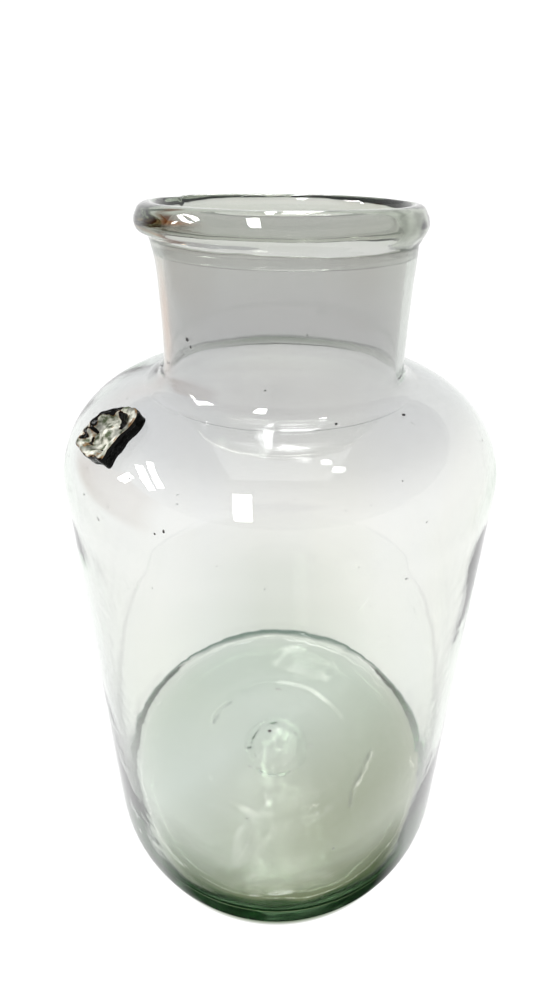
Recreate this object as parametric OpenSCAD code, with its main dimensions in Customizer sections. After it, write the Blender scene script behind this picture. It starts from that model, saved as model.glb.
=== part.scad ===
// Wide-mouthed hand-blown glass specimen jar.
// Four pieces of glass, worked onto each other hot: the blown body, the applied lip, the seal gob on the
// shoulder, and the scar that the pontil rod left under the base.
// Millimetres, +Z up. The origin is the centre of the foot ring, on the surface that the jar stands on.

/* [Body] */
// Overall height, from the foot ring to the crest of the lip
jar_h = 400; // [380:1:440]
// Outer radius of the wall just above the heel
wall_r_low = 115.2; // [110:0.1:120]
// Outer radius of the wall just under the shoulder
wall_r_high = 116; // [112:0.1:120]
// How far the shoulder bulges out past the top of the wall
hip = 0.8; // [0:0.1:3]
// Thickness of the blown wall, shoulder and neck
wall_t = 4; // [3:0.1:6]

/* [Shoulder] */
// Height of the shoulder's widest circle
shoulder_z = 269; // [240:1:275]
// Rise of the shoulder dome above its widest circle
shoulder_rise = 47; // [40:0.1:54]
// Radius of the circle that the shoulder's curve is centred on
shoulder_core_r = 64; // [60:0.5:70]
// Radius of the hollow curve where the shoulder turns up into the neck
neck_fillet = 10; // [6:0.5:14]

/* [Mouth] */
// Radius of the straight bore inside the neck and lip
bore_r = 58.2; // [54:0.1:60]
// Outer radius of the neck where it meets the lip
neck_top_r = 62.9; // [62.4:0.1:66]
// Height of the applied lip
lip_h = 18; // [12:0.5:24]
// Outer radius of the lip at its widest
lip_r = 68.9; // [67:0.1:74]
// Radius of the circle along the lip's crest
lip_crest_r = 61.6; // [60.5:0.1:63]

/* [Base] */
// Outer radius of the heel's rounding
heel_r = 20; // [10:0.5:24]
// Width of the worn flat ring that the jar stands on
foot_w = 7; // [4:0.5:10]
// Height of the inner floor at its edge
floor_z = 20; // [14:0.5:26]
// Radius of the inner corner between floor and wall
corner_r = 8; // [5:0.5:12]
// Rise of the inner floor's push-up above the floor's edge
floor_rise = 9; // [4:0.5:16]
// Height of the underside's push-up at its centre
punt_h = 10; // [6:0.5:15]
// Radius of the push-up seen in the inner floor
punt_r = 58; // [40:1:70]

/* [Shoulder seal] */
// Radius of the seal gob
seal_r = 17; // [12:0.5:20]
// How far the seal's rim stands off the shoulder
seal_h = 6; // [4:0.5:8]
// Radius of the round bead in the middle of the seal
bead_r = 5; // [3:0.1:6]
// Direction of the seal round the jar, from +X towards +Y
seal_azimuth = -141.6; // [-180:0.1:180]
// Place of the seal up the shoulder's curve, where 0 is the widest circle and 90 is the top
seal_angle = 52; // [45:1:60]

/* [Pontil scar] */
// Radius of the middle of the scar ring
scar_r = 19; // [14:0.5:26]
// Width of the scar ring
scar_w = 7; // [4:0.5:10]
// How far the scar stands down from the underside
scar_h = 2; // [1:0.1:4]

/* [Hidden] */
$fn = 96;
glass_tint = [0.80, 0.88, 0.84, 0.5];
lip_tint = [0.66, 0.76, 0.70, 0.6];
seal_tint = [0.35, 0.42, 0.36, 0.8];
scar_tint = [0.30, 0.48, 0.38, 0.8];

lip_z = jar_h - lip_h;
hip_r = wall_r_high + hip;
hip_drop = 11;            // height over which the hip swells out from the wall
punt_step = 1;            // rise of the floor between its edge and the push-up
shoulder_a = hip_r - shoulder_core_r;
shoulder_end = 82.5;      // where the shoulder's curve hands over to the neck fillet
neck_flare_z = 355;       // where the neck starts to flare towards the lip
foot_r = wall_r_low - heel_r;
foot_in_r = foot_r - foot_w;
thick_z = 90;             // below this height the wall thickens towards the heel
thick_more = 0.7;         // how much thicker the wall is at the floor
thick_gain = 0.3;         // how much wider the bore of the wall is where the thickening starts
floor_wall_r = wall_r_low - wall_t - thick_more;

// Points on an ellipse's arc from angle a0 to a1, in n steps.
function arc(c, rx, rz, a0, a1, n) =
    [for (i = [0:n]) let (a = a0 + (a1 - a0) * i / n) [c[0] + rx * cos(a), c[1] + rz * sin(a)]];
// A smooth step from 0 to 1.
function ease(t) = t * t * (3 - 2 * t);
// Outward unit normal of an ellipse at parametric angle a.
function normal(rx, rz, a) = let (n = [cos(a) / rx, sin(a) / rz]) n / norm(n);

shoulder_c = [shoulder_core_r, shoulder_z];
shoulder_end_n = normal(shoulder_a, shoulder_rise, shoulder_end);
shoulder_end_p = shoulder_c + [shoulder_a * cos(shoulder_end), shoulder_rise * sin(shoulder_end)];
fillet_c = shoulder_end_p + neck_fillet * shoulder_end_n;
fillet_end = 180 + atan2(shoulder_end_n[1], shoulder_end_n[0]);
neck_r = fillet_c[0] - neck_fillet;

// Outside of the body from the foot ring up to the lip.
outer_curve = concat(
    arc([foot_r, heel_r], heel_r, heel_r, -90, 0, 10),
    [for (i = [0:6]) let (t = i / 6)
        [wall_r_high + hip * ease(t), shoulder_z - hip_drop * (1 - t)]],
    arc(shoulder_c, shoulder_a, shoulder_rise, 6, shoulder_end, 16),
    arc(fillet_c, neck_fillet, neck_fillet, fillet_end - 10, 180, 8),
    [for (i = [0:6]) let (t = i / 6)
        [neck_r + (neck_top_r - neck_r) * ease(t), neck_flare_z + (lip_z - neck_flare_z) * t]]
);

// Inside of the body from the mouth down to the edge of the floor.
inner_curve = concat(
    [[bore_r, lip_z]],
    arc(fillet_c, fillet_c[0] - bore_r, neck_fillet + wall_t, 180, fillet_end - 10, 8),
    arc(shoulder_c, shoulder_a - wall_t, shoulder_rise - wall_t, shoulder_end, 0, 16),
    [[wall_r_high - wall_t, shoulder_z - hip_drop], [wall_r_low - wall_t + thick_gain, thick_z]],
    arc([floor_wall_r - corner_r, floor_z + corner_r], corner_r, corner_r, 0, -90, 8)
);

// Top of the floor from its edge to its centre, with the push-up in the middle.
floor_curve = [for (i = [0:10]) let (t = i / 10)
    [punt_r * (1 - t), floor_z + punt_step + (floor_rise - punt_step) * ease(t)]];

// Underside from its centre out to the foot ring.
under_curve = [for (i = [0:12]) let (t = i / 12)
    [foot_in_r * t, punt_h * ease(1 - t)]];

// Height of the underside at radius r.
function under_z(r) = punt_h * ease(1 - r / foot_in_r);

module outer_solid() {
    rotate_extrude() polygon(concat([[0, 0]], outer_curve, [[0, lip_z]]));
}

module jar_body() {
    color(glass_tint) rotate_extrude()
        polygon(concat(under_curve, outer_curve, inner_curve, floor_curve));
}

// The lip is a full round bead outside and on top, flush with the bore inside.
module lip_ring() {
    lip_c_z = lip_z + lip_h / 2;
    out_rx = lip_r - lip_crest_r;
    start = -acos((neck_top_r - lip_crest_r) / out_rx);
    color(lip_tint) rotate_extrude()
        polygon(concat(
            [[bore_r, lip_z], [neck_top_r, lip_z]],
            arc([lip_crest_r, lip_c_z], out_rx, lip_h / 2, start + 4, 90, 16),
            arc([lip_crest_r, lip_c_z], lip_crest_r - bore_r, lip_h / 2, 100, 180, 8)
        ));
}

// Half section of the seal: a rounded rim, a dished face, and a bead in the middle.
module seal_section() {
    rim_w = 3.2;
    dish_h = 2.4;
    root = -8;            // deep enough to reach the shoulder's surface all round the gob
    polygon(concat(
        [[0, root], [seal_r, root], [seal_r, 0.5]],
        arc([seal_r - rim_w, 1], rim_w, seal_h - 1, 12, 150, 10),
        [[bead_r + 2.2, dish_h]],
        arc([0, dish_h - 0.4], bead_r, seal_h - dish_h, 12, 90, 8)
    ));
}

module shoulder_seal() {
    seat_r = shoulder_core_r + shoulder_a * cos(seal_angle);
    seat_z = shoulder_z + shoulder_rise * sin(seal_angle);
    n = normal(shoulder_a, shoulder_rise, seal_angle);
    color(seal_tint) difference() {
        rotate([0, 0, seal_azimuth]) translate([seat_r, 0, seat_z])
            rotate([0, atan2(n[0], n[1]), 0]) rotate_extrude() seal_section();
        outer_solid();
    }
}

// The scar follows the underside's slope on top, and is broken off unevenly below.
module pontil_scar() {
    inner = scar_r - scar_w / 2;
    color(scar_tint) rotate_extrude()
        polygon(concat(
            [for (i = [0:6]) let (r = inner + scar_w * i / 6) [r, under_z(r)]],
            arc([scar_r, under_z(scar_r)], scar_w / 2, scar_h, -12, -168, 10)
        ));
}

jar_body();
lip_ring();
shoulder_seal();
pontil_scar();
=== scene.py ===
"""A wide-mouthed, hand-blown glass specimen jar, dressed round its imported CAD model.

Four pieces of glass stand for the four CAD nodes: the blown body, the lip laid round its mouth, the seal
pressed on its shoulder and the scar under its base. A fifth piece is the dark stones caught in the glass.
Metres, +Z up, in the CAD's own frame: the jar stands on z = 0 and its axis is the Z axis.
"""
import math
import random

import bpy
import numpy as np
from mathutils import Matrix, Vector, noise


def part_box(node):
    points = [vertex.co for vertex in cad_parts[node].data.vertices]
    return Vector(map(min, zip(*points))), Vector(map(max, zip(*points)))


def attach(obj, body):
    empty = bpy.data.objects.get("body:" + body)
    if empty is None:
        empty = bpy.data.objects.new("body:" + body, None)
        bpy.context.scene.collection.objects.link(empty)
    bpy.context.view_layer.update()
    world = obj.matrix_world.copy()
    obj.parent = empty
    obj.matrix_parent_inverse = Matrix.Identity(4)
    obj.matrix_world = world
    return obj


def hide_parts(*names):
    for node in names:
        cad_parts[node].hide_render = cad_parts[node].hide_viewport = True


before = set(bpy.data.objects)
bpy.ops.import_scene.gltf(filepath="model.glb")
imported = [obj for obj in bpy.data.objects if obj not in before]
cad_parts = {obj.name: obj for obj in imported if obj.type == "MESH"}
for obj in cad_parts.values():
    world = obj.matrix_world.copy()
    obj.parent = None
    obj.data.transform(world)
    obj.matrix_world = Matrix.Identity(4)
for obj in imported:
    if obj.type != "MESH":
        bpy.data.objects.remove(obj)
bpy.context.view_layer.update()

MM = 0.001
TAU = 2 * math.pi
random.seed(7)

# ---------------- sizes, from the CAD frame where it has them
_, BODY_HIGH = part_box("jar_body")
LIP_LOW, LIP_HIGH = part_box("lip_ring")
HIP_R = BODY_HIGH.x                # the widest circle, where the wall turns into the shoulder
JOIN_Z = LIP_LOW.z                 # the top of the neck, where the lip is laid on
TOP_Z = LIP_HIGH.z                 # the crest of the lip
LIP_R = LIP_HIGH.x

HIP = 0.8 * MM                     # how far the shoulder bulges out past the top of the wall
TAPER = 0.8 * MM                   # how much narrower the wall is at the heel than at its top
WALL_HIGH_R = HIP_R - HIP          # wall just under the shoulder
WALL_LOW_R = WALL_HIGH_R - TAPER   # wall just above the heel
WALL = 4 * MM                      # thickness of wall, shoulder and neck
THICK_Z = 90 * MM                  # below this height the wall thickens towards the heel
THICK_MORE = 0.7 * MM              # how much thicker the wall is at the floor
THICK_GAIN = 0.3 * MM              # how much wider the wall's bore is where the thickening starts
SHOULDER_Z = 269 * MM
SHOULDER_RISE = 47 * MM
SHOULDER_CORE_R = 64 * MM
SHOULDER_END = 82.5                # degrees up the shoulder's curve where the neck's hollow curve starts
HIP_DROP = 11 * MM
FILLET_R = 10 * MM
NECK_TOP_R = 62.9 * MM
FLARE_Z = 355 * MM                 # where the neck starts to flare towards the lip
BORE_R = 58.2 * MM
LIP_CREST_R = 61.6 * MM
HEEL_R = 20 * MM
FOOT_R = WALL_LOW_R - HEEL_R
FOOT_IN_R = FOOT_R - 7 * MM        # inner edge of the flat ring that the jar stands on
FLOOR_Z = 20 * MM
FLOOR_RISE = 9 * MM
CORNER_R = 8 * MM
FLOOR_EDGE_R = WALL_LOW_R - WALL - THICK_MORE - CORNER_R
PUNT_R = 58 * MM
PUNT_H = 10 * MM
SCAR_R = 19 * MM
OVERLAP = 0.1 * MM                 # how deep a worked-on piece is sunk into the body
SEAM_Z = JOIN_Z - 4 * MM           # the lip is melted on with a sloping seam, lower on the outside

SEGMENTS = 208                     # round the body
SEAL_SEGMENTS = 144
SEAL_AZIMUTH = math.radians(-141.6)
SEAL_ANGLE = 52                    # degrees up the shoulder's curve


# ---------------- outlines
def arc(centre, rx, rz, start, end, steps):
    """Points on an ellipse's arc, from one angle to the other in degrees."""
    angles = [math.radians(start + (end - start) * i / steps) for i in range(steps + 1)]
    return [(centre[0] + rx * math.cos(a), centre[1] + rz * math.sin(a)) for a in angles]


def ease(t):
    t = np.clip(t, 0, 1)
    return t * t * (3 - 2 * t)


def even(points, step, turn_step=9.0):
    """The same line with points about one step apart, and closer together where it bends."""
    line = np.array(points, float)
    line = line[np.concatenate([[True], np.linalg.norm(np.diff(line, axis=0), axis=1) > 1e-9])]
    legs = np.diff(line, axis=0)
    lengths = np.linalg.norm(legs, axis=1)
    headings = np.unwrap(np.arctan2(legs[:, 1], legs[:, 0]))
    turns = np.abs(np.diff(headings, prepend=headings[0], append=headings[-1]))
    bends = (turns[:-1] + turns[1:]) / 2 / math.radians(turn_step)
    run = np.concatenate([[0], np.cumsum(lengths / step + bends)])
    count = max(2, int(round(run[-1])) + 1)
    at = np.linspace(0, run[-1], count)
    return np.stack([np.interp(at, run, line[:, k]) for k in (0, 1)], axis=1)


def soften(line, passes):
    """Rounds off the places where one curve runs into the next. The ends stay put."""
    for _ in range(passes):
        line[1:-1] = (line[:-2] + 2 * line[1:-1] + line[2:]) / 4
    return line


def shoulder_frame():
    """The shoulder ellipse's centre and half axes, and the hollow neck curve's centre and start angle."""
    a, b = HIP_R - SHOULDER_CORE_R, SHOULDER_RISE
    end = math.radians(SHOULDER_END)
    normal = Vector((math.cos(end) / a, math.sin(end) / b)).normalized()
    foot = Vector((SHOULDER_CORE_R + a * math.cos(end), SHOULDER_Z + b * math.sin(end)))
    fillet = foot + FILLET_R * normal
    return a, b, fillet, 180 + math.degrees(math.atan2(normal.y, normal.x))


def outer_line():
    """The outside, from the edge of the foot up to the lip."""
    a, b, fillet, turn = shoulder_frame()
    neck_r = fillet.x - FILLET_R
    hip = [(WALL_HIGH_R + (HIP_R - WALL_HIGH_R) * ease(t), SHOULDER_Z - HIP_DROP * (1 - t))
           for t in np.linspace(0, 1, 9)]
    neck = [(neck_r + (NECK_TOP_R - neck_r) * ease(t), FLARE_Z + (SEAM_Z - FLARE_Z) * t)
            for t in np.linspace(0, 1, 9)]
    return (arc((FOOT_R, HEEL_R), HEEL_R, HEEL_R, -90, 0, 24) + hip
            + arc((SHOULDER_CORE_R, SHOULDER_Z), a, b, 4, SHOULDER_END, 40)
            + arc(fillet, FILLET_R, FILLET_R, turn, 180, 16) + neck)


def inner_line():
    """The inside, from the lip down to the edge of the floor."""
    a, b, fillet, turn = shoulder_frame()
    return ([(BORE_R, JOIN_Z)]
            + arc(fillet, fillet.x - BORE_R, FILLET_R + WALL, 180, turn, 16)
            + arc((SHOULDER_CORE_R, SHOULDER_Z), a - WALL, b - WALL, SHOULDER_END, 0, 40)
            + [(WALL_HIGH_R - WALL, SHOULDER_Z - 2 * HIP_DROP), (WALL_LOW_R - WALL + THICK_GAIN, THICK_Z)]
            + arc((FLOOR_EDGE_R, FLOOR_Z + CORNER_R), CORNER_R, CORNER_R, 0, -90, 16))


def floor_line():
    """The floor, from its edge to its centre: a broad push-up with a soft ring where the tool stopped."""
    radii = np.linspace(FLOOR_EDGE_R, 0, 60)
    rise = FLOOR_RISE * ease(1 - radii / (PUNT_R + 4 * MM))
    ring = 0.6 * MM * np.exp(-((radii - PUNT_R) / (4 * MM)) ** 2)
    return list(zip(radii, FLOOR_Z + rise + ring))


def under_height(r):
    """How high the underside is above the ground at one radius."""
    return PUNT_H * ease(1 - r / FOOT_IN_R)


def under_line():
    """The underside, from its centre out to the foot."""
    return [(r, under_height(r)) for r in np.linspace(0, FOOT_IN_R, 60)]


# ---------------- the hand in the blowing
def lean(points):
    """The neck was drawn a little to one side, and the lip a little to the other. Every piece above the floor
    follows the same drift, so they stay joined."""
    z = points[:, 2]
    drift = 1.3 * MM * ease((z - 308 * MM) / (26 * MM)) * (1 - 1.3 * ease((z - 372 * MM) / (22 * MM)))
    moved = points.copy()
    moved[:, 0] += drift
    return moved


def field(points, size, seed, stretch=1.0):
    """Smooth noise over 3-D points, from about -1 to 1, with features of one size."""
    shift = Vector((seed * 7.3, seed * 3.1, seed * 5.7))
    return np.array([noise.noise(Vector((x / size, y / size, z / size / stretch)) + shift)
                     for x, y, z in points])


def wobble(point, x=0, y=0, z=0):
    """The same noise at one point. The three numbers shift it, so that no two uses move together."""
    return noise.noise(point + Vector((x, y, z)))


def spoke(turn):
    """The level direction at one angle."""
    return Vector((math.cos(turn), math.sin(turn), 0))


def mesh_from(name, vertices, faces):
    """A smooth-shaded piece in the scene."""
    mesh = bpy.data.meshes.new(name)
    mesh.from_pydata([tuple(v) for v in vertices], [], faces)
    mesh.validate()
    mesh.polygons.foreach_set("use_smooth", [True] * len(mesh.polygons))
    mesh.update()
    obj = bpy.data.objects.new(name, mesh)
    bpy.context.scene.collection.objects.link(obj)
    return obj


def set_amounts(obj, name, amounts):
    """Writes one number for each vertex, such as how much of the painted grey shade it carries."""
    layer = obj.data.attributes.new(name, "FLOAT", "POINT")
    layer.data.foreach_set("value", np.array(amounts, np.float32))


def turned_faces(rings, segments, closed_loop=False):
    """Quads between rings of vertices. The outside is on the right of the line as it goes up."""
    faces = []
    for i in range(rings if closed_loop else rings - 1):
        a, b = i * segments, (i + 1) % rings * segments
        for j in range(segments):
            k = (j + 1) % segments
            faces.append((a + j, a + k, b + k, b + j))
    return faces


def capped_faces(rings, segments):
    """The same quads, and a fan over each end. The first ring's centre vertex follows the rings, then the
    last ring's."""
    faces = turned_faces(rings, segments)
    first, last = rings * segments, (rings - 1) * segments
    for j in range(segments):
        k = (j + 1) % segments
        faces.append((first, k, j))
        faces.append((first + 1, last + j, last + k))
    return faces


def lump_faces(base, rows, columns):
    """Outward faces of a closed lump whose vertices run from one pole, row by row, to the other."""
    faces = []
    last = base + 1 + (rows - 1) * columns
    for j in range(columns):
        k = (j + 1) % columns
        faces.append((base, base + 1 + j, base + 1 + k))
        faces.append((last, last - columns + k, last - columns + j))
        for i in range(rows - 2):
            a, b = base + 1 + i * columns, base + 1 + (i + 1) * columns
            faces.append((a + j, b + j, b + k, a + k))
    return faces


def flipped(faces):
    """The same faces, looking the other way."""
    return [tuple(reversed(face)) for face in faces]


# ---------------- body
def line_normals(line):
    """The normals of the section's outline, pointing out of the glass."""
    along = np.gradient(line, axis=0)
    along /= np.maximum(np.linalg.norm(along, axis=1), 1e-12)[:, None]
    return np.stack([along[:, 1], -along[:, 0]], axis=1)


def seam_line():
    """The seam under the lip, from the outside in. Points crowd at both ends, to keep its edges crisp."""
    outside, inside = np.array([NECK_TOP_R, SEAM_Z]), np.array([BORE_R, JOIN_Z])
    return np.array([outside + (inside - outside) * t for t in (0, 0.02, 0.25, 0.5, 0.75, 0.98, 1)])


def hold(line):
    """Adds a point just before the line's end, so that smooth shading doesn't spill over the edge there."""
    back = line[-2] - line[-1]
    return np.vstack([line[:-1], line[-1] + back / np.linalg.norm(back) * 0.12 * MM, line[-1]])


def body_stretches():
    """The body's outline as stretches of (name, points), in order round the section."""
    outer = soften(even(outer_line(), 4.6 * MM, 6.5), 12)[1:]
    inner = soften(even(inner_line(), 4.6 * MM, 6.5), 12)
    return [("under", even(under_line(), 2.6 * MM)[1:]),
            ("foot", even([(FOOT_IN_R, 0), (FOOT_R, 0)], 1.2 * MM)[1:]),
            ("outer", hold(outer)),
            ("join", seam_line()[1:-1]),
            ("inner", hold(inner[::-1])[::-1]),
            ("floor", even(floor_line(), 2.1 * MM)[1:-1])]


FLOOR_DENTS = (  # x, y, radius and height in mm: where the mould and the tools touched the floor
    (14, -30, 5, 0.9), (-49, -30, 3, 0.5), (-44, -45, 6, 0.5), (28, -50, 5, 0.5), (23, -65, 5, 0.5),
    (-15, -89, 4, 0.5), (23, -88, 4, 0.4), (33, -88, 4, 0.5), (2, -12, 9, 0.4), (-2, -62, 8, 0.5))
FLOOR_CREASES = (  # folds in the floor, each as points in mm
    ((71, -6), (62, -22), (53, -36), (51, -47)), ((-50, 16), (-45, 28), (-38, 34)))

DARK_PATCHES = (  # darker patches on the wall: azimuth in degrees, height in mm, spread in degrees, spread up and down in mm, and depth of tone
    (-172, 82, 4.5, 26, 0.30), (-163, 46, 4, 20, 0.26), (-10, 88, 4, 24, 0.30), (-15, 60, 4, 18, 0.24),
    (-90, 328, 45, 9, 0.20))
BROWN_REFLECTION_PATCH = (-158, 350, 8, 28, 0.45)  # painted reflection of brown surroundings down the side of the neck, with the same numbers


def crease_distance(x, y, crease):
    """How far each point is from a folded line, in millimetres."""
    nearest = np.full(len(x), 1e3)
    for (ax, ay), (bx, by) in zip(crease, crease[1:]):
        along = ((x - ax) * (bx - ax) + (y - ay) * (by - ay)) / ((bx - ax) ** 2 + (by - ay) ** 2)
        along = np.clip(along, 0, 1)
        nearest = np.minimum(nearest, np.hypot(x - ax - along * (bx - ax), y - ay - along * (by - ay)))
    return nearest


def floor_marks(points):
    """Dents and folds of the floor, in millimetres of height."""
    x, y = points[:, 0] / MM, points[:, 1] / MM
    marks = np.zeros(len(points))
    for dent_x, dent_y, radius, height in FLOOR_DENTS:
        marks += height * np.exp(-((x - dent_x) ** 2 + (y - dent_y) ** 2) / (radius / 1.7) ** 2)
    for crease in FLOOR_CREASES:
        marks -= 0.5 * np.exp(-(crease_distance(x, y, crease) / 1.6) ** 2)
    return marks


def wall_patch(points, azimuth, z, spread, spread_up, tone):
    """A soft patch round one place on the wall: its full tone in the middle and 0 far away."""
    turns = np.degrees(np.arctan2(points[:, 1], points[:, 0]))
    side = ((turns - azimuth + 180) % 360 - 180) / spread
    rise = (points[:, 2] / MM - z) / spread_up
    return tone * np.exp(-side ** 2 - rise ** 2)


def body_brown_reflection(kind, points):
    """How much of the painted brown reflection each vertex carries."""
    return wall_patch(points, *BROWN_REFLECTION_PATCH) if kind == "outer" else np.zeros(len(points))


def body_dark_tone(kind, points):
    """How much darker tone each vertex takes: painted shade along the floor's folds, darker patches on the
    sides of the wall, and round the front of the neck's foot."""
    dark_tone = np.zeros(len(points))
    if kind == "floor":
        # painted shade in the floor's folds
        for crease in FLOOR_CREASES:
            nearest = crease_distance(points[:, 0] / MM, points[:, 1] / MM, crease)
            dark_tone += np.exp(-(nearest / 1.3) ** 2) * np.clip(0.62 + 0.8 * field(points, 9 * MM, 15), 0, 0.85)
    if kind == "outer":
        uneven = 1 + 0.7 * field(points, 12 * MM, 16, 2.5)
        for dark_patch in DARK_PATCHES:
            dark_tone += wall_patch(points, *dark_patch) * uneven
    return np.clip(dark_tone, 0, 0.8)


def body_swell(kind, points, r, z):
    """How far the glass stands off its ideal surface, along the outward normal: broad and finer swells, the
    lines of the tools, the floor's uneven corner and the fold inside the neck's foot. They are added up in
    millimetres and returned in metres."""
    if kind == "outer":
        calm = 1 - 0.7 * ease((z - 250 * MM) / (30 * MM))
        swell = 0.16 * field(points, 90 * MM, 1, 1.6) + 0.05 * calm * field(points, 26 * MM, 2, 2.0) - 0.3
        lines = 0.04 * np.sin(z / (3.1 * MM) + 3 * field(points, 60 * MM, 3))
        fade = ease((SEAM_Z - z) / (7 * MM)) * ease(z / (9 * MM))
        return (swell + lines * ease((z - 318 * MM) / (20 * MM))) * fade * MM
    if kind == "inner":
        swell = 0.25 * field(points, 60 * MM, 4, 1.8) + 0.07 * field(points, 22 * MM, 5, 1.6)
        corner = 0.35 * field(points, 15 * MM, 6) * ease((60 * MM - z) / (34 * MM))
        fold = 0.16 * math.exp(-((z - 317.5 * MM) / (1.3 * MM)) ** 2)
        return (swell + corner + fold) * ease((JOIN_Z - z) / (9 * MM)) * MM
    if kind == "floor":
        swell = 0.26 * field(points, 40 * MM, 7) + 0.22 * field(points, 14 * MM, 8)
        corner = 0.35 * field(points, 15 * MM, 6) * ease((r - 95 * MM) / (10 * MM))
        return (swell + corner + floor_marks(points)) * MM
    if kind == "under":
        swell = 0.35 * field(points, 34 * MM, 10) + 0.08 * field(points, 12 * MM, 11)
        return swell * ease((FOOT_IN_R - r) / (12 * MM)) * MM
    return np.zeros(len(points))


def body_grid():
    """The body's rings of vertices, from the middle of the underside round to the middle of the floor. Then
    how much of the painted grey shade each ring carries, none inside the seam, and how much darker tone and
    painted brown reflection each vertex carries."""
    angles = np.arange(SEGMENTS) * TAU / SEGMENTS
    across, along = np.cos(angles), np.sin(angles)
    stretches = body_stretches()
    line = np.concatenate([points for _, points in stretches])
    kinds = [kind for kind, points in stretches for _ in points]
    normals = line_normals(line)
    rings, dark_tone, brown_reflection = [], [], []
    for kind, (r, z), (nr, nz) in zip(kinds, line, normals):
        ring = np.stack([r * across, r * along, np.full(SEGMENTS, z)], axis=1)
        push = np.stack([nr * across, nr * along, np.full(SEGMENTS, nz)], axis=1)
        rings.append(ring + push * body_swell(kind, ring, r, z)[:, None])
        dark_tone.append(body_dark_tone(kind, ring))
        brown_reflection.append(body_brown_reflection(kind, ring))
    grey_shade = [0.0 if kind == "join" else 1.0 for kind in kinds]
    return rings, grey_shade, np.concatenate(dark_tone), np.concatenate(brown_reflection)


def seed_bubbles(count):
    """Small drawn-out bubbles in the wall and shoulder, as cavities: their faces look into the bubble."""
    vertices, faces = [], []
    rows, columns = 6, 10
    lowest, highest = 40, 300
    a, b, _, _ = shoulder_frame()
    for _ in range(count):
        turn, z = random.uniform(0, TAU), random.uniform(lowest, highest) * MM
        radius = random.uniform(0.22, 0.62) ** 1.3 * MM
        long = radius * random.uniform(1.2, 3.2)
        depth = WALL * random.uniform(0.35, 0.65)
        middle = np.interp(z, [lowest * MM, SHOULDER_Z], [WALL_LOW_R, WALL_HIGH_R]) - depth
        if z > SHOULDER_Z:
            lift = math.asin(min(0.999, (z - SHOULDER_Z) / b))
            middle = SHOULDER_CORE_R + (a - WALL / 2) * math.cos(lift)
            z = SHOULDER_Z + (b - WALL / 2) * math.sin(lift)
        out = spoke(turn)
        along = (Vector((-out.y, out.x, 0)) + Vector((0, 0, random.uniform(-0.4, 0.4)))).normalized()
        up = out.cross(along)
        centre = out * middle + Vector((0, 0, z))
        faces += flipped(lump_faces(len(vertices), rows, columns))
        vertices.append(centre + along * long)
        for i in range(1, rows):
            tilt = math.pi * i / rows
            for j in range(columns):
                spin = TAU * j / columns
                side = out * math.cos(spin) + up * math.sin(spin)
                vertices.append(centre + along * long * math.cos(tilt) + side * radius * math.sin(tilt))
        vertices.append(centre - along * long)
    return np.array(vertices), faces


def make_body():
    """The blown body, and the bubbles inside its glass."""
    rings, grey_shade, dark_tone, brown_reflection = body_grid()
    centres = [[0, 0, rings[0][:, 2].mean()], [0, 0, rings[-1][:, 2].mean()]]
    vertices = np.concatenate(rings + [centres])
    bubbles, bubble_faces = seed_bubbles(110)
    faces = capped_faces(len(rings), SEGMENTS)
    faces += [tuple(len(vertices) + v for v in face) for face in bubble_faces]
    body = mesh_from("blown_body", lean(np.concatenate([vertices, bubbles])), faces)
    clean = np.zeros(len(bubbles))
    amounts = (("grey_shade", np.repeat(grey_shade, SEGMENTS), 1), ("dark_tone", dark_tone, 0), ("brown_reflection", brown_reflection, 0))
    for name, on_rings, on_centres in amounts:
        set_amounts(body, name, np.concatenate([on_rings, [on_centres, on_centres], clean]))
    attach(body, "root")
    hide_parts("jar_body")
    return body


# ---------------- lip
def smooth_line(points, step):
    """An open line through the points, rounded between them."""
    p = np.array([points[0]] + points + [points[-1]], float)
    out = []
    for a, b, c, d in zip(p, p[1:], p[2:], p[3:]):
        count = max(1, int(round(np.linalg.norm(c - b) / step)))
        for t in np.arange(count) / count:
            out.append(0.5 * (2 * b + (c - a) * t + (2 * a - 5 * b + 4 * c - d) * t ** 2
                              + (3 * b - a - 3 * c + d) * t ** 3))
    return np.array(out + [p[-1]])


def lip_section():
    """A fat roll whose underside curls back on to the outside of the neck: first the points in the seam, from
    the inside out, and then the visible skin."""
    seam = seam_line() - [0, OVERLAP]
    roll = (  # a radius and how far out from it in mm, then a height and how far up from it in mm
        (NECK_TOP_R, 0.12, SEAM_Z, 1.0), (NECK_TOP_R, 0.35, JOIN_Z, -1.0), (NECK_TOP_R, 0.8, JOIN_Z, 1.6),
        (LIP_R, -3.4, JOIN_Z, 3.7), (LIP_R, -1.2, JOIN_Z, 5.7), (LIP_R, -0.1, JOIN_Z, 8.3),
        (LIP_R, -0.3, JOIN_Z, 11.2), (LIP_R, -1.3, JOIN_Z, 14.0), (LIP_R, -2.8, TOP_Z, -1.5),
        (LIP_CREST_R, 2.0, TOP_Z, -0.3), (LIP_CREST_R, 0.2, TOP_Z, -0.1), (LIP_CREST_R, -1.0, TOP_Z, -0.3),
        (BORE_R, 0.8, TOP_Z, -1.9), (BORE_R, 0.1, TOP_Z, -5), (BORE_R, 0, JOIN_Z, 8), (BORE_R, 0, JOIN_Z, 3))
    points = [(r + out * MM, z + up * MM) for r, out, z, up in roll]
    skin = smooth_line([tuple(seam[0])] + points + [tuple(seam[-1])], 0.8 * MM)
    skin = hold(hold(skin)[::-1])[::-1]
    return seam[-2:0:-1], skin


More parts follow.
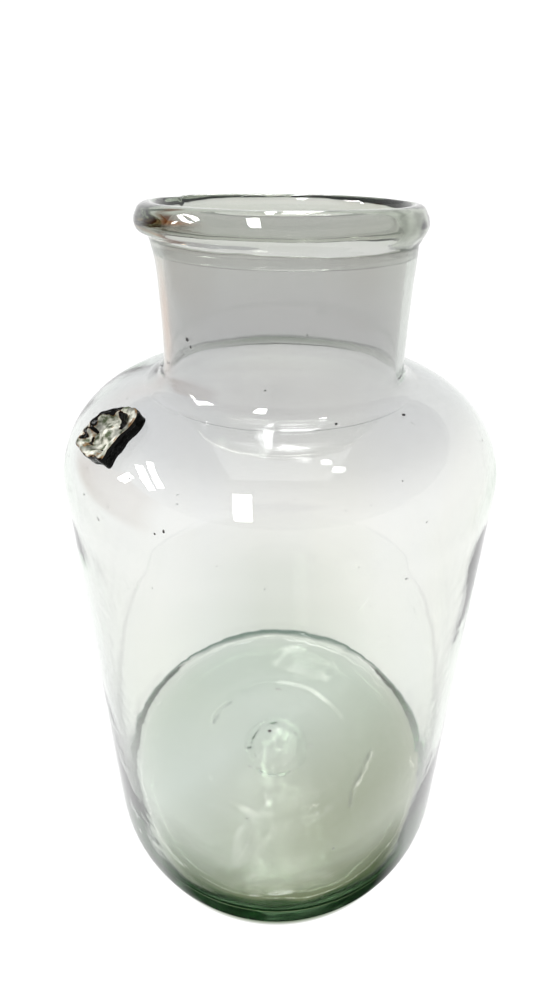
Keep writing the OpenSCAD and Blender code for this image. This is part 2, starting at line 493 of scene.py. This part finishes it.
def lip_painted_reflections(r, z, turn):
    """How much painted reflection of dark and of brown surroundings the lip takes at one azimuth, for all the
    points of its section.
    """
    degrees = math.degrees(turn)
    up = (z - JOIN_Z) / MM
    outside = ease((r - LIP_CREST_R) / (2 * MM))
    grain = np.array([noise.noise(Vector((u * 0.55, turn * 1.6, 3.0))) for u in up])
    mottle = np.array([noise.noise(Vector((u * 0.35, turn * 9, 8.0))) for u in up])

    def between(start, end, fade):
        """1 in one stretch of the lip, faded over some degrees at both ends, and 0 in the rest."""
        done, left_over = (degrees - start) % 360, (end - degrees) % 360
        return float(ease(done / fade) * ease(left_over / fade)) if done < (end - start) % 360 else 0.0

    # painted reflections: brown and dark streaks at the left end, dark mottle at the right end, dark along
    # the crest
    left = between(172, 246, 16) * outside
    middle = 8.4 + 3.4 * ((degrees - 180) / 62 if 172 < degrees < 246 else 0)
    brown_reflection = left * np.exp(-((up - middle - 1.0) / 1.8) ** 2) * np.clip(0.7 + 1.6 * grain, 0, 1)
    dark_tone = left * np.exp(-((up - middle + 0.6) / 0.8) ** 2) * np.clip(0.9 + 1.2 * mottle, 0, 1)
    dark_tone += 0.5 * left * np.exp(-((up - middle + 2.6) / 0.7) ** 2)
    right = between(-52, 14, 18) * outside * np.exp(-((up - 6.0) / 4.0) ** 2)
    dark_tone += right * np.clip(0.30 + 1.3 * mottle + 0.6 * grain, 0, 0.75)
    crest = np.exp(-((r - LIP_CREST_R - 0.6 * MM) / (1.5 * MM)) ** 2) * ease((up - 15) / 2)
    dark_tone += crest * (0.95 * between(6, 84, 22) * np.clip(0.75 + grain, 0, 1) + 0.35 * between(70, 146, 12))
    return np.clip(dark_tone, 0, 0.95), np.clip(brown_reflection, 0, 0.95)


def make_lip():
    """The lip stands out further on the left, where its underside is higher. Its top steps down and comes
    back slowly where the laid-on trail of glass ends."""
    seam, skin = lip_section()
    section = np.concatenate([seam, skin])
    ideal_r, ideal_z = section[:, 0], section[:, 1]
    outside = ease((ideal_r - LIP_CREST_R) / (6 * MM)) * ease((ideal_z - JOIN_Z - 2 * MM) / (5 * MM))
    top = ease((ideal_z - JOIN_Z - 9 * MM) / (8 * MM))
    below = ease((JOIN_Z + 6 * MM - ideal_z) / (4 * MM)) * ease((ideal_r - NECK_TOP_R - 0.05 * MM) / MM)
    segments = 300
    trail_end = math.radians(146)
    columns, dark_tone, brown_reflection = [], [], []
    for j in range(segments):
        turn = TAU * j / segments
        # painted reflections of dark and brown surroundings
        dark_here, brown_here = lip_painted_reflections(ideal_r, ideal_z, turn)
        dark_tone.append(dark_here)
        brown_reflection.append(brown_here)
        here = spoke(turn)
        slow, quick = wobble(here * 1.3, 4), wobble(here * 6, 0, 9)
        past_end = (turn - trail_end) % TAU
        step = ease(past_end / 0.06) * math.exp(-past_end / 0.35) if past_end < 3 else 0
        left = 0.5 - 0.5 * math.cos(turn)
        r = ideal_r + outside * (0.9 * left - 0.9 + 0.5 * slow + 0.15 * quick - 0.5 * step) * MM
        z = ideal_z - top * (0.5 + 0.45 * slow - 0.1 * left * left + 0.8 * step) * MM
        z = z + below * (0.5 * quick + 0.5 * slow + 1.6 * left * left - 0.4) * MM
        columns.append(np.stack([r * here.x, r * here.y, z], axis=1))
    grid = np.stack(columns, axis=1).reshape(-1, 3)
    ripple = 0.10 * field(grid, 9 * MM, 21, 0.6) + 0.25 * field(grid, 26 * MM, 22, 0.5)
    strong = np.repeat(np.maximum(outside, top), segments)
    flat = np.hypot(grid[:, 0], grid[:, 1])
    grid[:, :2] *= (1 + ripple * strong * MM / flat)[:, None]
    lip = mesh_from("rolled_lip", lean(grid), turned_faces(len(section), segments, closed_loop=True))
    set_amounts(lip, "grey_shade", np.repeat([0.0] * len(seam) + [1.0] * len(skin), segments))
    set_amounts(lip, "dark_tone", np.stack(dark_tone, axis=1).ravel())
    set_amounts(lip, "brown_reflection", np.stack(brown_reflection, axis=1).ravel())
    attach(lip, "root")
    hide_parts("lip_ring")
    return lip


# ---------------- seal on the shoulder
def on_shoulder(run, side, height):
    """A point standing off the shoulder. run goes up the shoulder's curve from the seal's seat and side goes
    round the jar, both as lengths along the glass."""
    a, b, _, _ = shoulder_frame()
    angle = math.radians(SEAL_ANGLE)
    speed = math.hypot(a * math.sin(angle), b * math.cos(angle))
    here = angle + run / speed
    seat_r = SHOULDER_CORE_R + a * math.cos(angle)
    turn = SEAL_AZIMUTH + side / seat_r
    normal = Vector((math.cos(here) / a, math.sin(here) / b)).normalized()
    r = SHOULDER_CORE_R + a * math.cos(here) + normal.x * height
    z = SHOULDER_Z + b * math.sin(here) + normal.y * height
    return (r * math.cos(turn), r * math.sin(turn), z)


SEAL_R = 14.3 * MM                 # how far the gob spread where nothing held it back or let it run
SEAL_LOBES = (  # direction in degrees from straight up the shoulder, reach in mm, half width in degrees
    (38, 2.3, 26), (83, -1.2, 14), (131, 3.4, 11), (221, 3.6, 13), (313, -1.8, 22), (345, -0.6, 20))


def seal_reach(turn):
    """How far the gob spread in one direction when it was pressed on, in metres."""
    reach = SEAL_R
    for angle, far, wide in SEAL_LOBES:
        off = (math.degrees(turn) - angle + 180) % 360 - 180
        reach += far * MM * math.exp(-(off / wide) ** 2)
    return reach


SEAL_SHADE_PLACES = (  # painted shade: where the seal is coloured dark instead of pale: direction, half width, inner and outer share
    (304, 44, 0.69, 1.1), (250, 11, 0.50, 0.74), (10, 21, 0.34, 0.72), (196, 26, 0.92, 1.1),
    (232, 9, 0.70, 0.84), (150, 16, 0.60, 0.68), (205, 14, 0.58, 0.66))


def seal_shade(share, direction):
    """How much painted shade the gob takes at one place: 0 where it stays pale and 1 where it is dark."""
    shade = 0
    for middle, half_width, inner, outer in SEAL_SHADE_PLACES:
        off = abs((direction - middle + 180) % 360 - 180) / half_width
        band = min(ease((share - inner) / 0.06), ease((outer - share) / 0.06))
        shade = max(shade, float(ease((1.25 - off) / 0.5) * band))
    return shade


def seal_section():
    """Half section as (share of the reach, height in metres): a lump in a dished face, and a thick rim."""
    outline = [(0, 2.9), (0.13, 2.8), (0.26, 2.1), (0.36, 1.1), (0.47, 0.8), (0.58, 1.2), (0.65, 2.8),
               (0.70, 4.4), (0.77, 5.4), (0.86, 5.7), (0.93, 5.2), (0.965, 4.0), (0.98, 2.2), (1.0, 0.7),
               (1.03, 0.0)]
    usual_r = 15 * MM
    spread = even([(share * usual_r, h * MM) for share, h in outline], 0.5 * MM)
    spread[:, 0] /= usual_r
    return spread


def make_seal():
    """The lump with its rim, and an underside sunk into the shoulder. How pale its skin is, as painted light
    and shade, follows how flat the glass lies there, except in the dished face, which is pale all over, and
    at its painted dark places."""
    section = seal_section()
    turns = [TAU * j / SEAL_SEGMENTS for j in range(SEAL_SEGMENTS)]
    sunk = 0.3 * MM
    vertices = []
    for share, h in section[1:]:
        rim = ease((share - 0.5) / 0.25)
        for turn in turns:
            here = spoke(turn)
            slow, quick = wobble(here * 1.2, 1, 5, 2), wobble(here * 5, 8, 1)
            wide = share * (rim * seal_reach(turn) + (1 - rim) * SEAL_R) + rim * 0.35 * MM * quick
            lump = 0.8 * MM * wobble(here * share * 2.6, 3, 3, 3) * ease(1 - share / 0.6)
            tall = h * (1 + 0.14 * slow + 0.07 * quick * rim) + lump
            vertices.append(on_shoulder(wide * here.x, wide * here.y, max(tall, 0) - sunk))
    for share in (0.97, 0.66, 0.33):
        for turn in turns:
            wide = seal_reach(turn) * share
            vertices.append(on_shoulder(wide * math.cos(turn), wide * math.sin(turn), -2 * sunk))
    faces = capped_faces(len(vertices) // SEAL_SEGMENTS, SEAL_SEGMENTS)
    vertices += [on_shoulder(0, 0, section[0][1] - sunk), on_shoulder(0, 0, -2 * sunk)]
    seal = mesh_from("pressed_seal", lean(np.array(vertices)), faces)
    seat = (Vector(on_shoulder(0, 0, MM)) - Vector(on_shoulder(0, 0, 0))).normalized()
    # painted light and shade: pale where the glass lies flat and all over the dished face, dark where it is
    # steep and at the listed dark places
    skin = [vertex.normal.dot(seat) for vertex in seal.data.vertices]
    for i, (share, _) in enumerate(section[1:]):
        dished = 0.95 * float(ease((0.80 - share) / 0.06))
        for j, turn in enumerate(turns):
            k = i * SEAL_SEGMENTS + j
            here = spoke(turn) * share
            ragged = 0.10 * wobble(here * 5, 6, 2)
            shade = seal_shade(share + ragged, math.degrees(turn) + 30 * wobble(here * 4))
            skin[k] = max(skin[k], dished) - 1.3 * shade
    set_amounts(seal, "skin", skin)
    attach(seal, "root")
    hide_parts("shoulder_seal")
    return seal


# ---------------- scar of the pontil rod
def make_scar():
    """A broken ring of glass under the push-up: smooth sides, and a jagged face where it snapped off."""
    segments, around = 160, 22
    vertices = []
    for i in range(around):
        lap = TAU * i / around
        for j in range(segments):
            here = spoke(TAU * j / segments)
            slow, sharp = wobble(here * 1.6, 2, 2, 7), wobble(here * 9, 5, 0, 1)
            wide = (3.4 + 0.8 * slow + 0.2 * sharp) * MM
            r = SCAR_R + 0.6 * MM * slow + wide * math.cos(lap)
            down = math.sin(lap)
            depth = max(0.1, 1.1 + 1.8 * slow + 0.5 * sharp) * MM * max(down, 0) ** 4
            z = under_height(r) + 0.12 * MM - depth
            vertices.append((r * here.x, r * here.y, z))
    scar = mesh_from("broken_scar", vertices, flipped(turned_faces(around, segments, closed_loop=True)))
    set_amounts(scar, "grey_shade", np.zeros(len(vertices)))
    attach(scar, "root")
    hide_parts("pontil_scar")
    return scar


# ---------------- stones
def wall_point(turn, z, depth):
    """A point inside the glass of the wall, shoulder or neck, at one depth below the outside."""
    line = np.array(outer_line())
    r = np.interp(z, line[:, 1], line[:, 0])
    widening = np.interp(z + MM, line[:, 1], line[:, 0]) - np.interp(z - MM, line[:, 1], line[:, 0])
    normal = Vector((2 * MM, -widening)).normalized()
    return spoke(turn) * (r - normal.x * depth) + Vector((0, 0, z - normal.y * depth))


def make_stones():
    """Dark unmelted grains in the wall and the floor, each a small irregular lump drawn out one way."""
    grains = [  # azimuth in degrees, height in mm, size in mm
        (-70, 315.9, 1.0), (-43, 314.8, 1.3), (-114, 285, 0.8), (-116, 283, 0.6), (-135, 345, 1.4),
        (-133, 342, 0.7), (75, 322, 0.8), (-156, 328, 0.9), (-140, 283, 0.6), (100, 303, 0.6), (-37, 74, 1.1),
        (-165, 60, 1.0), (38, 210, 0.9), (96, 262, 0.8), (150, 120, 1.0), (12, 300, 0.7)]
    spots = [(wall_point(math.radians(turn), z * MM, WALL * 0.45), size) for turn, z, size in grains]
    spots += [(Vector((-5, 2, 28.6)) * MM, 1.9), (Vector((38, -74, 14)) * MM, 1.1)]
    vertices, faces = [], []
    rows, columns = 7, 10
    for number, (centre, size) in enumerate(spots):
        long = Vector([random.uniform(-1, 1) for _ in range(3)]).normalized()
        faces += lump_faces(len(vertices), rows, columns)
        for i in range(rows + 1):
            tilt = math.pi * i / rows
            for j in range(columns if 0 < i < rows else 1):
                out = spoke(TAU * j / columns) * math.sin(tilt) + Vector((0, 0, math.cos(tilt)))
                rough = 1 + 0.45 * wobble(out * 1.7, number * 3)
                stretched = out + long * out.dot(long) * 0.5
                vertices.append(centre + stretched * size * 0.62 * MM * rough)
    stones = mesh_from("stones_in_glass", lean(np.array(vertices)), faces)
    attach(stones, "root")
    return stones


# ---------------- materials
WHITE = (1, 1, 1, 1)
# darker tone of the body: painted shade in the floor's folds, and darker patches of the wall
WALL_DARK_TONE = (0.20, 0.22, 0.22, 1)
# painted reflection of dark surroundings, on the lip
LIP_REFLECTED_DARK = (0.02, 0.03, 0.015, 1)
# painted reflection of brown surroundings, on the neck and the lip
REFLECTED_BROWN = (0.62, 0.19, 0.05, 1)


def new_material(name):
    """A material with one Principled shader: itself, its tree, the shader and the output."""
    material = bpy.data.materials.new(name)
    material.use_nodes = True
    tree = material.node_tree
    tree.nodes.clear()
    output = tree.nodes.new("ShaderNodeOutputMaterial")
    shader = tree.nodes.new("ShaderNodeBsdfPrincipled")
    tree.links.new(shader.outputs["BSDF"], output.inputs["Surface"])
    return material, tree, shader, output


def set_inputs(node, values):
    """Sets a node's own sockets, by name."""
    for name, value in values.items():
        node.inputs[name].default_value = value


def add_noise(tree, scale, detail, stretch=(1, 1, 1)):
    """Noise over the object's own coordinates, from 0 to 1 and mostly near the middle."""
    place = tree.nodes.new("ShaderNodeTexCoord")
    mapping = tree.nodes.new("ShaderNodeMapping")
    texture = tree.nodes.new("ShaderNodeTexNoise")
    set_inputs(mapping, {"Scale": stretch})
    set_inputs(texture, {"Scale": scale, "Detail": detail})
    tree.links.new(place.outputs["Object"], mapping.inputs["Vector"])
    tree.links.new(mapping.outputs["Vector"], texture.inputs["Vector"])
    return texture.outputs["Fac"]


def add_range(tree, source, low, high, to_low=0.0, to_high=1.0):
    """Maps one range of a value on to another, clamped."""
    node = tree.nodes.new("ShaderNodeMapRange")
    set_inputs(node, {"From Min": low, "From Max": high, "To Min": to_low, "To Max": to_high})
    tree.links.new(source, node.inputs["Value"])
    return node.outputs["Result"]


def add_bump(tree, shader, source, distance, strength):
    bump = tree.nodes.new("ShaderNodeBump")
    set_inputs(bump, {"Distance": distance, "Strength": strength})
    tree.links.new(source, bump.inputs["Height"])
    tree.links.new(bump.outputs["Normal"], shader.inputs["Normal"])


def add_fade(tree, source, low, high):
    """1 up to the low end, falling to 0 at the high end."""
    return add_range(tree, source, low, high, 1.0, 0.0)


def add_math(tree, operation, a, b):
    """One maths node. Each side is a socket or a number."""
    node = tree.nodes.new("ShaderNodeMath")
    node.operation = operation
    for side, socket in ((a, node.inputs[0]), (b, node.inputs[1])):
        if isinstance(side, (int, float)):
            socket.default_value = side
        else:
            tree.links.new(side, socket)
    return node.outputs["Value"]


def add_product(tree, product, *others):
    for other in others:
        product = add_math(tree, "MULTIPLY", product, other)
    return product


def add_shares(tree, a, a_share, b, b_share):
    """A share of one value and a share of another, added up."""
    return add_math(tree, "ADD", add_product(tree, a, a_share), add_product(tree, b, b_share))


def add_mix(tree, factor, a, b, kind="MIX"):
    """A colour mix node. The factor is a socket or a number, and each colour a socket or a tuple."""
    node = tree.nodes.new("ShaderNodeMix")
    node.data_type = "RGBA"
    node.blend_type = kind
    for side, socket in ((factor, node.inputs[0]), (a, node.inputs[6]), (b, node.inputs[7])):
        if isinstance(side, (int, float, tuple)):
            socket.default_value = side
        else:
            tree.links.new(side, socket)
    return node.outputs[2]


def add_attribute(tree, name):
    """What set_amounts wrote for each vertex under one name."""
    node = tree.nodes.new("ShaderNodeAttribute")
    node.attribute_name = name
    return node.outputs["Fac"]


def add_place(tree, coordinates="Object"):
    """The X, Y and Z of each point, or of each direction in the world, as three sockets."""
    place = tree.nodes.new("ShaderNodeTexCoord")
    split = tree.nodes.new("ShaderNodeSeparateXYZ")
    tree.links.new(place.outputs[coordinates], split.inputs["Vector"])
    return split.outputs["X"], split.outputs["Y"], split.outputs["Z"]


def add_radius(tree):
    """How far each point is from the jar's axis."""
    x, y, _ = add_place(tree)
    square = add_math(tree, "ADD", add_product(tree, x, x), add_product(tree, y, y))
    return add_math(tree, "SQRT", square, 0.0)


GREY_SHADE_STOPS = (  # painted shade: the grey darkening of neck and shoulder, for the darker surroundings seen through the glass there: height in metres, and what it lets through
    (0.000, (1.0, 1.0, 0.99)), (0.120, (0.99, 0.975, 0.985)), (0.255, (0.985, 0.97, 0.98)),
    (0.280, (0.98, 0.965, 0.98)), (0.291, (0.97, 0.955, 0.975)), (0.299, (0.90, 0.885, 0.91)),
    (0.306, (0.775, 0.765, 0.79)), (0.313, (0.72, 0.71, 0.735)), (0.319, (0.62, 0.61, 0.625)),
    (0.334, (0.635, 0.625, 0.635)), (0.350, (0.67, 0.66, 0.665)), (0.382, (0.70, 0.69, 0.685)),
    (0.400, (0.80, 0.795, 0.775)))


def add_grey_shade(tree, height):
    """The painted grey shade as a colour, by height, a little uneven round the jar."""
    ramp = tree.nodes.new("ShaderNodeValToRGB")
    stops = ramp.color_ramp.elements
    while len(stops) < len(GREY_SHADE_STOPS):
        stops.new(0.5)
    for stop, (z, colour) in zip(stops, GREY_SHADE_STOPS):
        stop.position = z / TOP_Z
        stop.color = colour + (1,)
    tree.links.new(add_math(tree, "DIVIDE", height, TOP_Z), ramp.inputs["Fac"])
    uneven = add_range(tree, add_noise(tree, 9, 2, (1, 1, 0.25)), 0.3, 0.7)
    cast = add_mix(tree, uneven, (0.985, 0.985, 1.0, 1), (1.0, 0.99, 0.965, 1))
    return add_mix(tree, 1.0, ramp.outputs["Color"], cast, "MULTIPLY")


def glass(name, absorbed, smear_high, bump_scale, bump_height, dark_colour=WALL_DARK_TONE):
    """Soda glass with its iron tint as real absorption, so that thick glass is greener. absorbed is how much
    of each colour a metre takes. smear_high is how rough the smears of handling are. The skin takes the
    painted grey shade, then the painted brown reflection, then the darker tone, as much as each vertex
    carries. The foot is worn, and dust lies on the floor."""
    material, tree, shader, output = new_material(name)
    set_inputs(shader, {"Transmission Weight": 1.0, "IOR": 1.52})
    density = max(absorbed) * 1.25
    volume = tree.nodes.new("ShaderNodeVolumeAbsorption")
    set_inputs(volume, {"Color": tuple(1 - a / density for a in absorbed) + (1,), "Density": density})
    tree.links.new(volume.outputs["Volume"], output.inputs["Volume"])
    _, _, height = add_place(tree)
    # painted grey shade, painted brown reflection and darker tone, each as much as the vertex carries
    colour = add_mix(tree, add_attribute(tree, "grey_shade"), WHITE, add_grey_shade(tree, height))
    colour = add_mix(tree, add_attribute(tree, "brown_reflection"), colour, REFLECTED_BROWN)
    colour = add_mix(tree, add_attribute(tree, "dark_tone"), colour, dark_colour)
    tree.links.new(colour, shader.inputs["Base Color"])
    smears = add_range(tree, add_noise(tree, 14, 4, (1, 1, 0.45)), 0.56, 0.78, 0.0, smear_high)
    worn = add_range(tree, height, 0.0, 0.15 * MM, 0.14, 0.0)
    dust = add_product(tree, add_range(tree, add_noise(tree, 40, 3), 0.35, 0.65, 0.06, 0.24),
                       add_fade(tree, add_radius(tree), 0.098, 0.102),
                       add_range(tree, height, 0.014, 0.017),
                       add_fade(tree, height, 0.034, 0.037))
    rough = add_math(tree, "MAXIMUM", add_math(tree, "MAXIMUM", smears, worn), dust)
    tree.links.new(rough, shader.inputs["Roughness"])
    add_bump(tree, shader, add_noise(tree, bump_scale, 2), bump_height, 0.35)
    return material


def seal_material():
    """Dark on the steep sides and a pale, clouded skin where the gob lies flat, with amber glass round its
    edges: painted light and shade, for how the thick glass of the seal catches the light."""
    material, tree, shader, _ = new_material("seal_glass")
    broken = add_math(tree, "MULTIPLY", add_math(tree, "SUBTRACT", add_noise(tree, 190, 3), 0.5), 0.9)
    pale = add_range(tree, add_math(tree, "ADD", add_attribute(tree, "skin"), broken), 0.70, 0.86)
    mottle = add_range(tree, add_noise(tree, 260, 4), 0.38, 0.60)
    skin_colour = add_mix(tree, mottle, (0.06, 0.075, 0.04, 1), (0.56, 0.56, 0.49, 1))
    clouds = add_range(tree, add_noise(tree, 120, 2), 0.40, 0.58, 0.35, 1.0)
    shadows = add_mix(tree, clouds, (0, 0, 0, 1), WHITE)
    skin_colour = add_mix(tree, 1.0, skin_colour, shadows, "MULTIPLY")
    colour = add_mix(tree, pale, (0.001, 0.001, 0.0008, 1), skin_colour)
    edge = add_product(tree, pale, add_math(tree, "SUBTRACT", 1.0, pale), 2.0)
    tree.links.new(add_mix(tree, edge, colour, (0.26, 0.13, 0.045, 1)), shader.inputs["Base Color"])
    tree.links.new(add_range(tree, pale, 0.0, 1.0, 0.08, 0.30), shader.inputs["Roughness"])
    set_inputs(shader, {"Specular IOR Level": 0.1})
    add_bump(tree, shader, add_noise(tree, 420, 3), 0.4 * MM, 0.5)
    return material


def stone_material():
    """Nearly black, with a little brown in it."""
    material, tree, shader, _ = new_material("unmelted_stone")
    ramp = tree.nodes.new("ShaderNodeValToRGB")
    ramp.color_ramp.elements[0].color = (0.004, 0.004, 0.003, 1)
    ramp.color_ramp.elements[1].color = (0.045, 0.035, 0.022, 1)
    tree.links.new(add_noise(tree, 900, 3), ramp.inputs["Fac"])
    tree.links.new(ramp.outputs["Color"], shader.inputs["Base Color"])
    set_inputs(shader, {"Roughness": 0.6})
    return material


# ---------------- stage, lights and camera
STAGE_GLOW = 1.10                  # how strongly the stage and the faded edges of the card shine


def stage_material():
    """Lit white, with the shade the jar casts on what it stands on: light green-grey under the floor, darker
    towards the front right and darkest under the heel, with a trace of shade and a thin dark line of shade
    behind.
    Outside the camera's view, far to the left, a brown patch gives the edges of the glass some brown. It
    shows behind the jar in views from the right."""
    material, tree, shader, _ = new_material("pale_floor")
    x, y, _ = add_place(tree)
    reach = add_radius(tree)
    sideways, lengthways = add_math(tree, "ABSOLUTE", x, 0.0), add_math(tree, "ABSOLUTE", y, 0.0)
    front = add_range(tree, y, -0.035, -0.080)
    left = add_fade(tree, x, -0.070, 0.0)
    edge = add_shares(tree, reach, 1.0, front, 0.0065)

    shade = add_product(tree, add_range(tree, y, 0.04, 0.13), add_fade(tree, y, 0.17, 0.34),
                        add_fade(tree, sideways, 0.02, 0.13))
    colour = add_mix(tree, shade, WHITE, (0.74, 0.76, 0.72, 1))

    to_front_right = add_range(tree, add_shares(tree, x, 0.6, y, -0.8), -0.020, 0.065)
    under = add_mix(tree, to_front_right, (0.80, 0.81, 0.80, 1), (0.31, 0.33, 0.20, 1))
    colour = add_mix(tree, add_fade(tree, edge, 0.1130, 0.1160), colour, under)

    # painted shade: a thin dark line round the back of the foot
    line = add_product(tree, add_range(tree, reach, 0.1160, 0.1195), add_fade(tree, reach, 0.1225, 0.1255),
                       add_range(tree, y, -0.010, 0.020))
    colour = add_mix(tree, line, colour, (0.12, 0.20, 0.16, 1))

    heel = add_range(tree, add_shares(tree, y, 1.0, x, -0.12), -0.080, -0.098)
    heel_inside = add_range(tree, add_shares(tree, reach, 1.0, left, -0.0055), 0.1000, 0.1022)
    heel_outside = add_fade(tree, edge, 0.1135, 0.1160)
    crescent = add_product(tree, heel, heel_inside, heel_outside, add_range(tree, left, 0.0, 1.0, 1.0, 0.65))
    colour = add_mix(tree, crescent, colour, (0.035, 0.10, 0.02, 1))

    patch = add_product(tree, add_range(tree, x, -1.5, -1.9), add_fade(tree, lengthways, 0.8, 1.3))
    colour = add_mix(tree, patch, colour, (0.26, 0.09, 0.025, 1))
    tree.links.new(colour, shader.inputs["Emission Color"])
    set_inputs(shader, {"Base Color": (0.01, 0.01, 0.01, 1), "Roughness": 0.9, "Specular IOR Level": 0.0,
                        "Emission Strength": STAGE_GLOW})
    return material


def make_stage():
    """A pale round floor that sweeps up into a low wall, softly lit from within."""
    flat_r, sweep_r, wall_top = 1.5, 0.9, 1.45
    line = [(r, 0.0) for r in np.linspace(0.01, flat_r, 12)]
    line += arc((flat_r, sweep_r), sweep_r, sweep_r, -90, 0, 24)[1:]
    line += [(flat_r + sweep_r, wall_top)]
    segments = 96
    vertices = [spoke(TAU * j / segments) * r + Vector((0, 0, z)) for r, z in line for j in range(segments)]
    faces = flipped(turned_faces(len(line), segments))
    faces.append(tuple(range(segments)))
    floor = mesh_from("floor", vertices, faces)
    floor.location.z = -0.2 * MM
    floor.data.materials.append(stage_material())


def shade_card_material():
    """Painted shade: nearly black, and glowing as the stage does towards its outer edge and its two ends."""
    material, tree, shader, _ = new_material("painted_shade_card")
    grain = add_range(tree, add_noise(tree, 200, 2), 0.3, 0.7, 0.004, 0.012)
    tree.links.new(grain, shader.inputs["Base Color"])
    x, y, _ = add_place(tree)
    ends = add_range(tree, add_shares(tree, y, 1.0, x, -0.08), -0.104, -0.082)
    glow = add_math(tree, "MAXIMUM", add_range(tree, add_radius(tree), 0.132, 0.149), ends)
    tree.links.new(glow, shader.inputs["Emission Color"])
    set_inputs(shader, {"Emission Strength": STAGE_GLOW, "Roughness": 0.9, "Specular IOR Level": 0.1})
    return material


def make_shade_card():
    """A dark card lying at the jar's foot: painted shade, darkening the heel as the shadow under it would.
    The camera does not see it, but the heel's own reflections do. Its edges fade into the stage's white."""
    middle, half_turn, steps = math.radians(-86), math.radians(62), 60
    vertices = []
    for i in range(steps + 1):
        along = spoke(middle + half_turn * (i / steps * 2 - 1))
        vertices += [(along * r + Vector((0, 0, z))) * MM for r in (109, 150) for z in (0.1, 0.4)]
    faces = []
    for a in range(0, 4 * steps, 4):
        b = a + 4
        faces += [(a + 1, a + 3, b + 3, b + 1), (a, b, b + 2, a + 2)]
        faces += [(a, a + 1, b + 1, b), (a + 2, b + 2, b + 3, a + 3)]
    last = 4 * steps
    faces += [(0, 2, 3, 1), (last, last + 1, last + 3, last + 2)]
    card = mesh_from("painted_shade_card", vertices, faces)
    card.data.polygons.foreach_set("use_smooth", [False] * len(card.data.polygons))
    card.data.materials.append(shade_card_material())
    card.visible_camera = False
    card.visible_shadow = False


def area_light(name, azimuth, elevation, width, height, radiance, spin=0.0):
    """A rectangle of light aimed at the jar's shoulder from two metres. Azimuth 0 is on the camera's side and
    90 is at +X. Width and height are in degrees as seen from the jar, and spin turns it about its own aim."""
    target, distance = Vector((0, 0, 0.28)), 2.0
    a, e = math.radians(azimuth), math.radians(elevation)
    away = Vector((math.sin(a) * math.cos(e), -math.cos(a) * math.cos(e), math.sin(e)))
    data = bpy.data.lights.new(name, "AREA")
    data.shape = "RECTANGLE"
    data.size = 2 * distance * math.tan(math.radians(width / 2))
    data.size_y = 2 * distance * math.tan(math.radians(height / 2))
    data.energy = radiance * data.size * data.size_y * math.pi
    lamp = bpy.data.objects.new(name, data)
    bpy.context.scene.collection.objects.link(lamp)
    turn = away.to_track_quat("Z", "Y").to_matrix() @ Matrix.Rotation(math.radians(spin), 3, "Z")
    lamp.matrix_world = Matrix.Translation(target + away * distance) @ turn.to_4x4()
    lamp.visible_camera = False
    return lamp


def make_dome():
    """A pale room with a darker ceiling."""
    world = bpy.data.worlds.new("soft_dome")
    world.use_nodes = True
    tree = world.node_tree
    background = tree.nodes["Background"]
    set_inputs(background, {"Strength": 0.75})
    _, _, up = add_place(tree, "Generated")
    room = add_mix(tree, add_range(tree, up, 0.50, 0.80), (0.97, 0.97, 1.0, 1), (0.62, 0.63, 0.64, 1))
    tree.links.new(room, background.inputs["Color"])
    bpy.context.scene.world = world


def make_lights():
    """A soft light overhead that glass does not mirror, and the window, tubes and lamps that it does."""
    softbox = area_light("overhead_softbox", 180, 84, 36, 36, 2.6)
    softbox.visible_glossy = False
    area_light("window", -22, 45, 8, 27, 26, 15)
    area_light("side_tube_low", -83, 35.0, 19.5, 4.0, 26, -18)
    area_light("side_tube_high", -83, 41.0, 21, 3.4, 26, -18)
    area_light("side_lamp", -89, 25, 3.5, 9, 26)
    area_light("back_tube_low", 175.5, 45, 6.5, 8, 26, -8)
    area_light("back_tube_middle", 167, 71, 10, 5.5, 26, -12)
    area_light("back_tube_high", 156, 78, 9, 3.0, 4, -20)
    area_light("back_panel", -173.4, 62, 1.9, 34, 26, -8.5)
    area_light("right_lamp_high", 116, 75, 3, 3, 26)
    area_light("right_lamp_low", 85, 71, 4.5, 3.6, 26)


def make_camera():
    """A close, wide view from just above the lip, pitched down, as the jar's reference view was taken."""
    back, up = 0.717 * TOP_Z, 1.039 * TOP_Z
    pitch, roll = math.radians(26.51), math.radians(0.75)
    forward = Vector((0, math.cos(pitch), -math.sin(pitch)))
    right = Vector((1, 0, 0))
    above = right.cross(forward)
    tilted_right = math.cos(roll) * right + math.sin(roll) * above
    tilted_above = math.cos(roll) * above - math.sin(roll) * right
    data = bpy.data.cameras.new("camera")
    data.lens = 20.23
    data.sensor_width = 36
    data.shift_y = -0.0591
    data.shift_x = -0.0006
    data.clip_start = 0.01
    camera = bpy.data.objects.new("camera", data)
    bpy.context.scene.collection.objects.link(camera)
    turn = Matrix((tilted_right, tilted_above, -forward)).transposed()
    camera.matrix_world = Matrix.Translation((0, -back, up)) @ turn.to_4x4()
    bpy.context.scene.camera = camera


make_camera()
body = make_body()
lip = make_lip()
seal = make_seal()
scar = make_scar()
stones = make_stones()
body.data.materials.append(glass("jar_glass", (19, 13, 18.5), 0.05, 60, 0.15 * MM))
lip.data.materials.append(glass("lip_glass", (26, 22, 28), 0.04, 90, 0.2 * MM, LIP_REFLECTED_DARK))
seal.data.materials.append(seal_material())
scar.data.materials.append(glass("scar_glass", (19, 13, 18.5), 0.05, 300, 0.1 * MM))
stones.data.materials.append(stone_material())
make_stage()
make_shade_card()
make_dome()
make_lights()
scene = bpy.context.scene
scene.view_settings.view_transform = "Standard"
scene.cycles.max_bounces = 24
scene.cycles.transmission_bounces = 24
scene.cycles.glossy_bounces = 12
